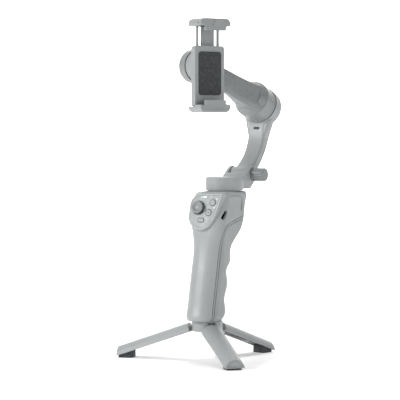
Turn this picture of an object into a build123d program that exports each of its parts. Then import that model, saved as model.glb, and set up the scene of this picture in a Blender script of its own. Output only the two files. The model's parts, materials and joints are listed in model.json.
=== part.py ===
from build123d import *
import os
from math import cos, radians, sin

# Three-axis phone gimbal on a mini tripod. +Z up, control panel facing -Y, charging socket on
# the +X side. Pieces are drawn about the tripod's axis, then moved so that the origin is on the
# floor under the middle of the whole. Millimetres.

os.makedirs("parts", exist_ok=True)

RUN = 0.03                      # radial running clearance of pins and shafts
GAP = 0.6                       # face gap between pieces that turn past each other
WALL = 2.0                      # moulded wall
MIDDLE = (8.7, -29.8, 0)        # where the tripod's axis stands from the middle of the whole

# tripod
HUB_R = 15.6
HUB_BOTTOM, HUB_TOP = 28.8, 39.6
LEG_ANGLES = [76.6, 196.6, 316.6]
LEG_SLOPE = 19.0                # degrees below horizontal when open
LEG_REACH = 92.8                # hub axis to the tip of a leg
PIVOT_R, PIVOT_Z = 10.5, 34.0
PIN_R = 1.5
LEG_START = 7.2                 # pivot to the root of the leg's shell
LEG_DROP = 3.5                  # pivot down to the leg's open side
LEG_ROOT_W, LEG_TIP_W = 22.4, 20.0
LEG_ROOT_H, LEG_TIP_H = 9.0, 8.4
TONGUE_W = 7.0
STUD_R = 3.175

# handle
HANDLE_BOTTOM, HEAD_TOP = 40.0, 169.5
HEAD_W = 40.0
PANEL_LEAN = 15.6               # panel's normal above horizontal
PANEL_Y, PANEL_Z = -2.6, 151.5
POD_PROUD = 2.2
POD_SIDE, POD_TOP = -19.0, 17.2 # left and top edges of the pod on the panel's plane
PANEL_INSET, POD_BEVEL = 2.6, 1.3
CORNER_R = 8.0                  # soft upper front corner of the head on the joystick's side
JOY_X, JOY_UP, JOY_R = -7.5, 1.2, 6.3
JOY_HOLE = 5.4
JOY_PIVOT = -6.2                # joystick's pivot below the panel's face
LENS_X, LENS_UP = -3.3, 12.7
BOARD_FACE = -8.4               # button board below the panel's face
# place, length and height of each button
BUTTONS = {
    "button_record": (8.0, 6.9, 6.2, 6.2),
    "button_mode": (4.7, -3.5, 6.2, 6.2),
    "button_power": (-3.2, -11.4, 7.4, 3.8),
}
SOCKET_Y, SOCKET_Z = 2.0, 146.4
SOCKET_LEAN = 33.0
SOCKET_LONG, SOCKET_TALL = 10.4, 3.6

# motors: radius of the turning cup and its depth from the gap
PAN_Y = 35.5
PAN_R, PAN_DEPTH = 19.4, 14.3
TILT_R, TILT_DEPTH = 19.5, 19.5
ROLL_R, ROLL_DEPTH = 16.5, 12.0
SHAFT_R, BEARING_R, POST_R = 2.0, 4.6, 6.0
CUP_WALL = 1.6

# folding arm
HINGE_Y, HINGE_Z = 72.5, 185.5
BARREL_R, BARREL_HALF = 8.0, 9.7
EAR_GAP, EAR_T = 0.6, 3.0
ARM_HALF = 9.5
HEAD_BACK = -14.5               # back of the arm's motor head behind the gap
KNOB_R, KNOB_LEN = 7.0, 14.3
BOLT_R = 2.5

# the point where the tilt and roll axes cross, and the turn of the phone about Z
PAYLOAD = Vector(0, 10, 297)
PHONE_TURN = 62.5
TILT_GAP = Vector(0, 111, 257.7)
TILT_AXIS = (PAYLOAD - TILT_GAP).normalized()
ROLL_AXIS = Vector(sin(radians(PHONE_TURN)), -cos(radians(PHONE_TURN)), 0)
PHONE_LONG = Vector(cos(radians(PHONE_TURN)), sin(radians(PHONE_TURN)), 0)
ROLL_GAP_D = 25.0               # roll motor's gap behind the middle of the phone

# phone clamp, opened for a phone of this width and thickness
PHONE_W, PHONE_T = 77.6, 7.9
CLAMP_HALF = 18.3
JAW_T = 8.6
JAW_BACK = -17.5
LIP, LIP_HALF = 2.4, 12.4
PAD_T = 0.8
BODY_BACK = -13.0
ROD_R, ROD_X, ROD_BACK = 1.5, 12.4, -9.2
SPRING_R = 2.6

PAN_GAP_PLANE = Plane((0, PAN_Y, HEAD_TOP), x_dir=(1, 0, 0), z_dir=(0, 0, 1))
TILT_PLANE = Plane(TILT_GAP, x_dir=(1, 0, 0), z_dir=TILT_AXIS)
CLAMP_PLANE = Plane(PAYLOAD, x_dir=PHONE_LONG, z_dir=ROLL_AXIS)
ROLL_PLANE = CLAMP_PLANE.offset(-ROLL_GAP_D)
PANEL_PLANE = Plane(
    (0, PANEL_Y, PANEL_Z),
    x_dir=(1, 0, 0),
    z_dir=(0, -cos(radians(PANEL_LEAN)), sin(radians(PANEL_LEAN))),
)
PANEL_AXIS = Axis(PANEL_PLANE.origin, PANEL_PLANE.z_dir)


def save(piece, name):
    """Label a finished piece and write its STEP file."""
    placed = piece.part.moved(Location(MIDDLE))
    placed.label = name
    export_step(placed, f"parts/{name}.step")


def ring(plane, low, high, inner, outer, mode=Mode.ADD):
    """A tube or disc about a plane's Z axis, put into the part being built."""
    with BuildSketch(plane.offset(low)) as profile:
        Circle(outer)
        if inner > 0:
            Circle(inner, mode=Mode.SUBTRACT)
    extrude(profile.sketch, amount=high - low, mode=mode)


def block(plane, low, high, width, height, corner=0.0, centre=(0, 0), mode=Mode.ADD):
    """A bar with a rounded rectangular section along a plane's Z axis."""
    with BuildSketch(plane.offset(low)) as profile:
        with Locations(centre):
            if corner > 0:
                RectangleRounded(width, height, corner)
            else:
                Rectangle(width, height)
    extrude(profile.sketch, amount=high - low, mode=mode)


def side_plane(x):
    """The YZ plane at x, whose sketch axes are +Y and +Z."""
    return Plane((x, 0, 0), x_dir=(0, 1, 0), z_dir=(1, 0, 0))


# ---------------------------------------------------------------- tripod

def leg_frame(angle):
    """Plane at a leg's pin: X across the leg, Y up, Z out along the leg."""
    a, s = radians(angle), radians(LEG_SLOPE)
    out = (cos(a) * cos(s), sin(a) * cos(s), -sin(s))
    return Plane((PIVOT_R * cos(a), PIVOT_R * sin(a), PIVOT_Z), x_dir=(-sin(a), cos(a), 0), z_dir=out)


def radial_plane(angle, radius, height):
    """Plane at a point round the hub: X outwards, Z across."""
    a = radians(angle)
    return Plane((radius * cos(a), radius * sin(a), height), x_dir=(cos(a), sin(a), 0), z_dir=(-sin(a), cos(a), 0))


def make_hub():
    with BuildPart() as hub:
        ring(Plane.XY, HUB_BOTTOM, HUB_TOP, 0, HUB_R)
        fillet(hub.edges().filter_by(GeomType.CIRCLE).group_by(Axis.Z)[-1], 1.2)
        fillet(hub.edges().filter_by(GeomType.CIRCLE).group_by(Axis.Z)[0], 0.6)
        for angle in LEG_ANGLES:
            slot = radial_plane(angle, PIVOT_R + 3.2, HUB_BOTTOM)
            block(slot, -TONGUE_W / 2 - 0.4, TONGUE_W / 2 + 0.4, 16, 18.4, mode=Mode.SUBTRACT)
            ring(radial_plane(angle, PIVOT_R, PIVOT_Z), -7.5, 7.5, 0, PIN_R, mode=Mode.SUBTRACT)
        ring(Plane.XY, HUB_BOTTOM - 1, HUB_TOP + 1, 0, STUD_R, mode=Mode.SUBTRACT)
    save(hub, "tripod_hub")

    with BuildPart() as pins:
        for angle in LEG_ANGLES:
            ring(radial_plane(angle, PIVOT_R, PIVOT_Z), -7.0, 7.0, 0, PIN_R)
    save(pins, "leg_pins")

    with BuildPart() as stud:
        ring(Plane.XY, HUB_BOTTOM + 0.4, HANDLE_BOTTOM + 8, 0, STUD_R)
        chamfer(stud.edges().group_by(Axis.Z)[-1], 0.8)
    save(stud, "tripod_stud")


def leg_section(plane, width, height, inset=0.0):
    """Arched section of a leg: flat open side below, round back above."""
    half = width / 2 - inset
    with BuildSketch(plane) as section:
        with BuildLine():
            ThreePointArc((-half, -LEG_DROP), (0, height - LEG_DROP - inset), (half, -LEG_DROP))
            Line((half, -LEG_DROP), (-half, -LEG_DROP))
        make_face()
    return section.sketch


def make_leg(number, angle):
    frame = leg_frame(angle)
    a = radians(angle)
    length = (LEG_REACH - PIVOT_R) / cos(radians(LEG_SLOPE)) + 4
    tip_plane = Plane(
        (LEG_REACH * cos(a), LEG_REACH * sin(a), 0), x_dir=(-sin(a), cos(a), 0), z_dir=(cos(a), sin(a), 0)
    )
    pin = radial_plane(angle, PIVOT_R, PIVOT_Z)

    with BuildPart() as hollow:
        root = leg_section(frame.offset(LEG_START + WALL), LEG_ROOT_W, LEG_ROOT_H, 1.7)
        tip = leg_section(frame.offset(length - 9), LEG_TIP_W, LEG_TIP_H, 1.7)
        loft([root, tip])

    with BuildPart() as shell:
        root = leg_section(frame.offset(LEG_START), LEG_ROOT_W, LEG_ROOT_H)
        tip = leg_section(frame.offset(length), LEG_TIP_W, LEG_TIP_H)
        loft([root, tip])
        add(hollow.part, mode=Mode.SUBTRACT)
        block(frame, 0, LEG_START + WALL, TONGUE_W, 5.4, centre=(0, -0.6))
        ring(pin, -TONGUE_W / 2, TONGUE_W / 2, 0, 3.3)
        ring(pin, -TONGUE_W, TONGUE_W, 0, PIN_R + RUN, mode=Mode.SUBTRACT)
        split(bisect_by=tip_plane, keep=Keep.BOTTOM)
        with BuildSketch(tip_plane) as end_recess:
            with BuildLine():
                ThreePointArc((-7.9, 2.9), (0, 9.5), (7.9, 2.9))
                Line((7.9, 2.9), (-7.9, 2.9))
            make_face()
        extrude(end_recess.sketch, amount=-0.8, mode=Mode.SUBTRACT)
    save(shell, f"leg_{number}_shell")

    with BuildPart() as cover:
        block(frame, LEG_START + WALL + 0.2, length - 27, 15.4, 1.0, centre=(0, -LEG_DROP + 0.6))
    save(cover, f"leg_{number}_cover")

    level = Plane((0, 0, 0), x_dir=(cos(a), sin(a), 0), z_dir=(0, 0, 1))
    with BuildPart() as pad:
        block(level, 0, 12, 15.6, LEG_TIP_W - 4.4, 3.5, centre=(LEG_REACH - 8.6, 0))
        block(frame, 20, 100, 60, 40, centre=(0, 20 - LEG_DROP), mode=Mode.SUBTRACT)
    save(pad, f"leg_{number}_foot_pad")


# ---------------------------------------------------------------- handle

# height, front Y, back Y, width, corner radius of the handle's level sections
STATIONS = [
    (40.0, -22.2, 12.0, 31.2, 14.6),
    (42.0, -23.2, 13.6, 33.6, 15.4),
    (52.0, -21.2, 18.0, 34.4, 15.5),
    (63.0, -18.8, 16.6, 34.4, 15.5),
    (75.0, -16.2, 22.0, 34.4, 15.5),
    (86.0, -13.8, 20.6, 34.4, 15.5),
    (98.0, -11.0, 27.6, 34.4, 15.5),
    (110.0, -8.6, 28.6, 34.8, 15.5),
    (120.0, -7.2, 35.0, 36.0, 14.5),
    (131.0, -6.4, 44.6, 38.6, 12.0),
    (142.0, -4.6, 47.8, 40.0, 10.0),
    (156.0, -0.9, 50.6, 40.0, 9.5),
    (169.5, 2.6, 53.2, 40.0, 9.5),
]


def handle_loft(inset):
    """Loft through the stations, each section pulled in by inset."""
    sections = []
    for height, front, back, width, corner in STATIONS:
        place = Plane((0, (front + back) / 2, height))
        with BuildSketch(place) as level:
            RectangleRounded(width - 2 * inset, back - front - 2 * inset, corner - inset)
        sections.append(level.sketch)
    loft(sections)


def behind_parting(shift):
    """Block of space behind the rear grip's parting line, moved back by shift."""
    with BuildPart() as space:
        with BuildSketch(side_plane(-30)) as region:
            with BuildLine():
                low = (-18.4 + shift, 35)
                waist = (-5.1 + shift, 96)
                end = (60, 151.0 - shift)
                Line(low, waist)
                Spline(
                    waist,
                    (-1.2 + shift, 115),
                    (0.8 + shift, 127.6 - 0.3 * shift),
                    (4.2 + shift, 135.0 - 0.8 * shift),
                    (12.0 + shift, 138.4 - shift),
                    (30 + shift, 142.6 - shift),
                    end,
                    tangents=[(13.3, 61), (1, 0.33)],
                )
                Polyline(end, (60, 35), low)
            make_face()
        extrude(region.sketch, amount=60)
    return space.part


def pod_outline(depth, inset=0.0):
    """Outline of the pod at a depth from the panel's plane, pulled in by inset."""
    with BuildSketch(PANEL_PLANE.offset(depth)) as outline:
        with BuildLine():
            TangentArc((POD_SIDE, 4.5), (-6.5, POD_TOP), tangent=(0, 1))
            Line((-6.5, POD_TOP), (18.9, POD_TOP))
            side = Line((18.9, POD_TOP), (15.2, 0))
            lower = TangentArc(side @ 1, (8.2, -15.8), tangent=side % 1)
            bottom = TangentArc(lower @ 1, (-8.0, -21.0), tangent=lower % 1)
            TangentArc(bottom @ 1, (POD_SIDE, -8.0), tangent=bottom % 1)
            Line((POD_SIDE, -8.0), (POD_SIDE, 4.5))
        make_face()
        if inset > 0:
            offset(amount=-inset, mode=Mode.REPLACE)
    return outline.sketch


def soft_corner():
    """Space cut off the head's upper front corner on the joystick's side."""
    height, front, _, width, corner = STATIONS[-1]
    outward = Vector(-1, -1, 0).normalized()
    place = Plane((corner - width / 2, front + corner, height), x_dir=outward, z_dir=(-1, 1, 0))
    inner, outer = corner - CORNER_R, corner
    middle = CORNER_R * sin(radians(45))
    with BuildPart() as space:
        with BuildSketch(place) as profile:
            with BuildLine():
                ThreePointArc((inner, 0), (inner + middle, middle - CORNER_R), (outer, -CORNER_R))
                Polyline((outer, -CORNER_R), (outer + 4.0, -2 * CORNER_R), (30, -2 * CORNER_R), (30, 5), (inner, 5), (inner, 0))
            make_face()
        extrude(profile.sketch, amount=30, both=True)
    return space.part


def make_handle():
    with BuildPart() as outer:
        handle_loft(0)
        fillet(outer.edges().group_by(Axis.Z)[-1], 3.2)
        add(soft_corner(), mode=Mode.SUBTRACT)

    with BuildPart() as pod:
        extrude(pod_outline(-9), amount=9 + POD_PROUD - POD_BEVEL)
        loft([pod_outline(POD_PROUD - POD_BEVEL), pod_outline(POD_PROUD, POD_BEVEL)], ruled=True)

    with BuildPart() as hollow:
        handle_loft(WALL)
        block(Plane.XY, 0, HANDLE_BOTTOM + 12, 200, 200, mode=Mode.SUBTRACT)
        block(Plane.XY, HEAD_TOP - 12, HEAD_TOP + 10, 200, 200, mode=Mode.SUBTRACT)

    with BuildPart() as whole:
        add(outer.part)
        add(pod.part)
        add(hollow.part, mode=Mode.SUBTRACT)
        ring(Plane.XY, HANDLE_BOTTOM - 1, 54, 0, 9.0, mode=Mode.SUBTRACT)
        ring(PAN_GAP_PLANE, -20, 1, 0, POST_R - 1.0, mode=Mode.SUBTRACT)
        extrude(pod_outline(-8, PANEL_INSET), amount=20, mode=Mode.SUBTRACT)
        with BuildSketch(side_plane(12)) as socket:
            with Locations(Location((SOCKET_Y, SOCKET_Z, 0), (0, 0, 90 - SOCKET_LEAN))):
                SlotOverall(SOCKET_LONG + 0.2, SOCKET_TALL + 0.2)
        extrude(socket.sketch, amount=12, mode=Mode.SUBTRACT)

    front_space = behind_parting(0)
    grip_space = behind_parting(2.6)
    trim_space = behind_parting(0.3)
    trim_back = behind_parting(2.3)
    with BuildPart() as shell:
        add(whole.part)
        add(front_space, mode=Mode.SUBTRACT)
        ring(PAN_GAP_PLANE, -3, PAN_DEPTH - 2.4, POST_R - 1.4, POST_R)
    save(shell, "handle_shell")

    with BuildPart() as grip:
        add(whole.part)
        add(grip_space, mode=Mode.INTERSECT)
    save(grip, "rear_grip_cover")

    with BuildPart() as trim:
        add(whole.part)
        add(trim_space, mode=Mode.INTERSECT)
        add(trim_back, mode=Mode.SUBTRACT)
    save(trim, "trim_strip")


def on_panel(across, up, out=0.0):
    """Plane parallel to the control panel at a place on its face."""
    return Plane(PANEL_PLANE.from_local_coords((across, up, POD_PROUD + out)), x_dir=(1, 0, 0), z_dir=PANEL_PLANE.z_dir)


def button_outline(across, up, length, height, low, grow=0.0):
    """Outline of a button, round or oval, at a level below the panel's face."""
    with BuildSketch(on_panel(across, up, low)) as outline:
        if length > height:
            SlotOverall(length + 2 * grow, height + 2 * grow)
        else:
            Circle(height / 2 + grow)
    return outline.sketch


def make_controls():
    joystick = on_panel(JOY_X, JOY_UP)
    lens = on_panel(LENS_X, LENS_UP)

    with BuildPart() as panel:
        extrude(pod_outline(-2.2, PANEL_INSET + 0.15), amount=2.2 + POD_PROUD)
        ring(joystick, -10, 5, 0, JOY_HOLE, mode=Mode.SUBTRACT)
        ring(joystick, -1.0, 5, 0, JOY_R + 0.7, mode=Mode.SUBTRACT)
        for place in BUTTONS.values():
            extrude(button_outline(*place, -10, 0.2), amount=15, mode=Mode.SUBTRACT)
        block(lens, -10, 5, 7.2, 1.8, 0.8, mode=Mode.SUBTRACT)
    save(panel, "control_panel")

    with BuildPart() as light:
        block(lens, -4.0, 0.0, 7.0, 1.6, 0.7)
    save(light, "status_light_lens")

    for name, place in BUTTONS.items():
        with BuildPart() as button:
            extrude(button_outline(*place, -4.6), amount=5.3)
            fillet(button.faces().sort_by(PANEL_AXIS)[-1].edges(), 0.5)
        save(button, name)

    with BuildPart() as board:
        with BuildSketch(PANEL_PLANE.offset(POD_PROUD + BOARD_FACE - 1.2)) as outline:
            with Locations((-2, -1)):
                RectangleRounded(25, 28, 8)
        extrude(outline.sketch, amount=1.2)
        for across, up, _, height in BUTTONS.values():
            block(on_panel(across, up), BOARD_FACE, -5.4, height - 2.0, height - 2.0)
    save(board, "button_board")

    # gimbal of the joystick: base posts along X, yoke ring, cap with a cross pin along the panel
    pivot = JOY_PIVOT
    with BuildPart() as base:
        block(joystick, BOARD_FACE, pivot + 1.4, 13.2, 3.0)
        ring(joystick, BOARD_FACE, BOARD_FACE + 0.4, 0, 6.0)
        ring(joystick, BOARD_FACE + 0.4, pivot + 2, 0, 5.2, mode=Mode.SUBTRACT)
        across = Plane(joystick.from_local_coords((0, 0, pivot)), x_dir=joystick.z_dir, z_dir=(1, 0, 0))
        ring(across, -7, 7, 0, 0.6 + RUN, mode=Mode.SUBTRACT)
    save(base, "joystick_base")

    up_the_panel = joystick.y_dir
    along = Plane(joystick.from_local_coords((0, 0, pivot)), x_dir=joystick.z_dir, z_dir=up_the_panel)
    with BuildPart() as yoke:
        ring(joystick, pivot - 0.9, pivot + 0.9, 3.4, 4.7)
        for side in (-1, 1):
            ring(across.offset(side * 4.6), 0, side * 1.8, 0, 0.6)
        ring(along, -6, 6, 0, 0.6 + RUN, mode=Mode.SUBTRACT)
    save(yoke, "joystick_yoke")

    with BuildPart() as cap:
        ring(joystick, pivot - 1.2, 2.4, 0, 2.2)
        ring(along, -4.7, 4.7, 0, 0.6)
        with BuildSketch(Plane(joystick.origin, x_dir=(1, 0, 0), z_dir=-up_the_panel)) as profile:
            with BuildLine():
                Polyline((0, 3.3), (0, 2.0), (JOY_R - 0.8, 2.0), (JOY_R, 2.9), (JOY_R - 0.1, 4.2), (JOY_R - 1.2, 4.9))
                ThreePointArc((JOY_R - 1.2, 4.9), (JOY_R - 2.6, 4.0), (2.4, 3.3))
                Line((2.4, 3.3), (0, 3.3))
            make_face()
        revolve(profile.sketch, axis=Axis(joystick.origin, joystick.z_dir))
    save(cap, "joystick_cap")

    with BuildPart() as socket:
        with BuildSketch(side_plane(12.4)) as outline:
            with Locations(Location((SOCKET_Y, SOCKET_Z, 0), (0, 0, 90 - SOCKET_LEAN))):
                SlotOverall(SOCKET_LONG, SOCKET_TALL)
        extrude(outline.sketch, amount=6.6)
        with BuildSketch(side_plane(13.4)) as mouth:
            with Locations(Location((SOCKET_Y, SOCKET_Z, 0), (0, 0, 90 - SOCKET_LEAN))):
                SlotOverall(SOCKET_LONG - 1.0, SOCKET_TALL - 0.8)
                Rectangle(6.6, 0.7, mode=Mode.SUBTRACT)
        extrude(mouth.sketch, amount=10, mode=Mode.SUBTRACT)
    save(socket, "usb_socket")


def make_handle_core():
    with BuildPart() as insert:
        ring(Plane.XY, HANDLE_BOTTOM, 53.0, STUD_R + RUN, 8.95)
    save(insert, "threaded_insert")

    lean = radians(13.5)
    cell_plane = Plane((0, -2.0, 56.0), x_dir=(1, 0, 0), z_dir=(0, sin(lean), cos(lean)))
    with BuildPart() as cell:
        ring(cell_plane, 0, 65, 0, 9.2)
        fillet(cell.edges(), 0.6)
        ring(cell_plane, 65, 66, 0, 2.8)
    save(cell, "battery_cell")

    board_plane = Plane((0, 34.0, 141.0), x_dir=(1, 0, 0), z_dir=(0, 0, 1))
    with BuildPart() as board:
        block(board_plane, -13, 12, 30, 1.6)
        for across, up in ((-8, -4), (5, 3), (6, -8)):
            block(board_plane, up - 3, up + 3, 7, 1.2, centre=(across, -1.4))
    save(board, "main_board")


# ---------------------------------------------------------------- motors

def make_motor(name, plane, radius, depth):
    """The pieces inside a motor: wound stator, bearings, magnet ring and shaft."""
    outer = radius - CUP_WALL - 2.6
    with BuildPart() as stator:
        ring(plane, 1.0, depth - 3.8, POST_R, outer)
        tooth = (outer + POST_R + 1.5) / 2
        with BuildSketch(plane.offset(1.0)) as slots:
            with PolarLocations(tooth, 12):
                Rectangle(outer - POST_R - 1.0, 1.5)
        extrude(slots.sketch, amount=depth, mode=Mode.SUBTRACT)
    save(stator, f"{name}_stator")

    with BuildPart() as bearings:
        for low in (-2.8, depth - 6.6):
            ring(plane, low, low + 3.0, SHAFT_R + RUN, BEARING_R)
    save(bearings, f"{name}_bearings")

    with BuildPart() as magnets:
        ring(plane, 1.2, depth - CUP_WALL - 0.6, radius - CUP_WALL - 1.8, radius - CUP_WALL)
    save(magnets, f"{name}_magnets")

    with BuildPart() as shaft:
        ring(plane, -4.2, depth - CUP_WALL, 0, SHAFT_R)
    save(shaft, f"{name}_shaft")


def hinge_plane(x):
    """Plane across the fold hinge at x, whose Z runs along the hinge."""
    return Plane((x, HINGE_Y, HINGE_Z), x_dir=(0, 1, 0), z_dir=(1, 0, 0))


def make_pan_housing():
    low, high = HEAD_TOP + GAP + 1.2, HEAD_TOP + PAN_DEPTH
    ear_out = BARREL_HALF + EAR_GAP + EAR_T
    with BuildPart() as housing:
        ring(PAN_GAP_PLANE, GAP, PAN_DEPTH, 0, PAN_R)
        fillet(housing.faces().sort_by(Axis.Z)[-1].edges(), 1.4)
        with BuildSketch(side_plane(-ear_out)) as bracket:
            with BuildLine():
                Polyline((PAN_Y + 8, high), (PAN_Y + 8, low), (67.0, low), (77.6, 179.8))
                ThreePointArc((77.6, 179.8), (79.6, 190.6), (69.6, 194.2))
                Polyline((69.6, 194.2), (65.8, 192.4), (54.8, high), (PAN_Y + 8, high))
            make_face()
        extrude(bracket.sketch, amount=2 * ear_out)
        fillet(housing.edges().filter_by(Axis.X).filter_by(lambda e: e.center().Y > 60), 1.0)
        ring(PAN_GAP_PLANE, GAP - 1, PAN_DEPTH - CUP_WALL, 0, PAN_R - CUP_WALL, mode=Mode.SUBTRACT)
        with BuildSketch(side_plane(-BARREL_HALF - EAR_GAP)) as throat:
            with Locations((HINGE_Y + 7.4, HINGE_Z)):
                Rectangle(40, 60)
        extrude(throat.sketch, amount=2 * (BARREL_HALF + EAR_GAP), mode=Mode.SUBTRACT)
        ring(hinge_plane(-20), 0, 40, 0, BOLT_R, mode=Mode.SUBTRACT)
    save(housing, "pan_housing")

    with BuildPart() as bolt:
        ring(hinge_plane(-ear_out - 2.4), 0, 2.4, 0, 4.6)
        fillet(bolt.faces().sort_by(Axis.X)[0].edges(), 0.8)
        ring(hinge_plane(-ear_out - 2.4), 0, 2 * ear_out + KNOB_LEN - 1.5, 0, BOLT_R)
    save(bolt, "hinge_bolt")

    knob_start = ear_out + 0.5
    with BuildPart() as knob:
        ring(hinge_plane(knob_start), 0, KNOB_LEN, 0, KNOB_R)
        fillet(knob.faces().sort_by(Axis.X)[-1].edges(), 1.6)
        with BuildSketch(hinge_plane(knob_start + 1.6)) as flutes:
            with PolarLocations(KNOB_R + 0.9, 8):
                Circle(1.7)
        extrude(flutes.sketch, amount=KNOB_LEN, mode=Mode.SUBTRACT)
        ring(hinge_plane(knob_start), -1, KNOB_LEN - 3.0, 0, BOLT_R + RUN, mode=Mode.SUBTRACT)
    save(knob, "lock_knob")


# ---------------------------------------------------------------- folding arm

def arm_profile(front_shift, back_shift, x):
    """Side view of the arm, its front and back curves moved in by the shifts."""
    f, b = front_shift, back_shift
    with BuildSketch(side_plane(x)) as profile:
        with BuildLine():
            ThreePointArc((72.0 + f, 192.6 - f), (94.6 + f, 209.4), (104.4 + f, 241.0))
            ThreePointArc((80.2 - b, 184.0), (104.8 - b, 204.6), (121.0 - b, 238.5))
            Line((72.0 + f, 192.6 - f), (80.2 - b, 184.0))
            Line((104.4 + f, 241.0), (121.0 - b, 238.5))
        make_face()
    return profile.sketch


def make_arm():
    with BuildPart() as head:
        ring(TILT_PLANE, HEAD_BACK, 0, 0, TILT_R + 1.0)
        fillet(head.edges().filter_by(GeomType.CIRCLE).sort_by(Axis(TILT_GAP, TILT_AXIS))[0], 4.0)
    with BuildPart() as neck:
        with BuildSketch(Plane((0, 109.6, 223.0))) as narrow:
            RectangleRounded(2 * ARM_HALF, 14.0, 3.0)
        with BuildSketch(Plane((0, 113.0, 247.0))) as wide:
            RectangleRounded(34.0, 11.0, 4.0)
        loft([narrow.sketch, wide.sketch])
    with BuildPart() as whole:
        extrude(arm_profile(0, 0, -ARM_HALF), amount=2 * ARM_HALF)
        fillet(whole.edges().filter_by(GeomType.CIRCLE), 2.4)
        add(neck.part)
        add(head.part)
        ring(hinge_plane(-BARREL_HALF), 0, 2 * BARREL_HALF, 0, BARREL_R)
    with BuildPart() as pocket:
        extrude(arm_profile(2.6, 2.6, -ARM_HALF + 2.2), amount=2 * ARM_HALF - 4.4)
        block(Plane.XY, 150, 199, 400, 400, mode=Mode.SUBTRACT)
    with BuildPart() as back_space:
        with BuildSketch(side_plane(-ARM_HALF + 1.2)) as back_region:
            with BuildLine():
                ThreePointArc((94.0, 196.0), (105.0, 209.6), (114.6, 232.0))
                Polyline((114.6, 232.0), (140.0, 232.0), (140.0, 196.0), (94.0, 196.0))
            make_face()
        extrude(back_region.sketch, amount=2 * ARM_HALF - 2.4)

    with BuildPart() as shell:
        add(whole.part)
        add(pocket.part, mode=Mode.SUBTRACT)
        add(back_space.part, mode=Mode.SUBTRACT)
        ring(TILT_PLANE, -9.0, 1, POST_R, TILT_R - 1.6, mode=Mode.SUBTRACT)
        ring(TILT_PLANE, HEAD_BACK - 1, -10.4, 0, 14.4, mode=Mode.SUBTRACT)
        ring(TILT_PLANE, -1.0, TILT_DEPTH - 3.4, BEARING_R, POST_R)
        ring(TILT_PLANE, -7.2, 1.0, 0, BEARING_R, mode=Mode.SUBTRACT)
        ring(hinge_plane(-BARREL_HALF - 1), 0, 2 * BARREL_HALF + 2, 0, BOLT_R + RUN, mode=Mode.SUBTRACT)
        with BuildSketch(arm_notch()) as notch:
            SlotOverall(7.2, 2.8)
        extrude(notch.sketch, amount=-1.7, mode=Mode.SUBTRACT)
    save(shell, "arm_shell")

    with BuildPart() as cover:
        add(whole.part)
        add(back_space.part, mode=Mode.INTERSECT)
        add(pocket.part, mode=Mode.SUBTRACT)
        block(Plane.XY, 150, 196.12, 400, 400, mode=Mode.SUBTRACT)
    save(cover, "arm_back_cover")

    with BuildPart() as cap:
        ring(TILT_PLANE, HEAD_BACK - 0.3, -10.4, 0, 14.2)
        fillet(cap.edges().filter_by(GeomType.CIRCLE).sort_by(Axis(TILT_GAP, TILT_AXIS))[0], 0.8)
    save(cap, "tilt_motor_cap")


def arm_notch():
    """Plane of the small finger notch on the arm's front, just under the motor."""
    lean = radians(13)
    return Plane((0, 103.6, 233.8), x_dir=(1, 0, 0), z_dir=(0, -cos(lean), sin(lean)))


# ---------------------------------------------------------------- elbow and roll motor

# centre, direction, thickness and height of the elbow's sections
ELBOW = [
    ((0, 88.4, 266.5), (0, -0.932, 0.363), 27.0, 27.0),
    ((-5, 70.0, 275.0), (-0.33, -0.86, 0.40), 16.0, 24.0),
    ((-17, 46.5, 288.5), (-0.43, -0.85, 0.30), 11.5, 21.0),
    ((-26, 29.5, 296.0), (-0.46, -0.885, 0.08), 10.5, 19.0),
]


def make_elbow():
    with BuildPart() as housing:
        ring(ROLL_PLANE, -13.0, 0, 0, ROLL_R + 1.0)
        fillet(housing.edges().filter_by(GeomType.CIRCLE).sort_by(Axis(ROLL_PLANE.origin, ROLL_AXIS))[0], 3.0)

    sections = []
    for centre, direction, thick, tall in ELBOW:
        level = Vector(-direction[1], direction[0], 0)
        with BuildSketch(Plane(centre, x_dir=level, z_dir=direction)) as section:
            RectangleRounded(thick, tall, 5.0)
        sections.append(section.sketch)
    with BuildPart() as bend:
        loft(sections)

    with BuildPart() as nose:
        with BuildSketch(TILT_PLANE.offset(TILT_DEPTH)) as base:
            Circle(TILT_R - 0.8)
        with BuildSketch(TILT_PLANE.offset(TILT_DEPTH + 6.5)) as tip:
            Circle(TILT_R - 5.5)
        loft([base.sketch, tip.sketch])

    with BuildPart() as elbow:
        ring(TILT_PLANE, GAP, TILT_DEPTH, 0, TILT_R)
        fillet(elbow.edges().filter_by(GeomType.CIRCLE).sort_by(Axis(TILT_GAP, TILT_AXIS))[-1], 0.8)
        add(nose.part)
        add(bend.part)
        add(housing.part)
        ring(TILT_PLANE, GAP - 1, TILT_DEPTH - CUP_WALL, 0, TILT_R - CUP_WALL, mode=Mode.SUBTRACT)
        ring(ROLL_PLANE, -9.5, 1, POST_R, ROLL_R - 1.0, mode=Mode.SUBTRACT)
        ring(ROLL_PLANE, -14, -11.4, 0, 12.4, mode=Mode.SUBTRACT)
        ring(ROLL_PLANE, -1.0, ROLL_DEPTH - 3.4, BEARING_R, POST_R)
        ring(ROLL_PLANE, -7.2, 1.0, 0, BEARING_R, mode=Mode.SUBTRACT)
    save(elbow, "elbow_arm")

    with BuildPart() as cap:
        ring(ROLL_PLANE, -13.3, -11.4, 0, 12.2)
        fillet(cap.edges().filter_by(GeomType.CIRCLE).sort_by(Axis(ROLL_PLANE.origin, ROLL_AXIS))[0], 0.8)
    save(cap, "roll_motor_cap")


# ---------------------------------------------------------------- phone clamp

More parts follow.
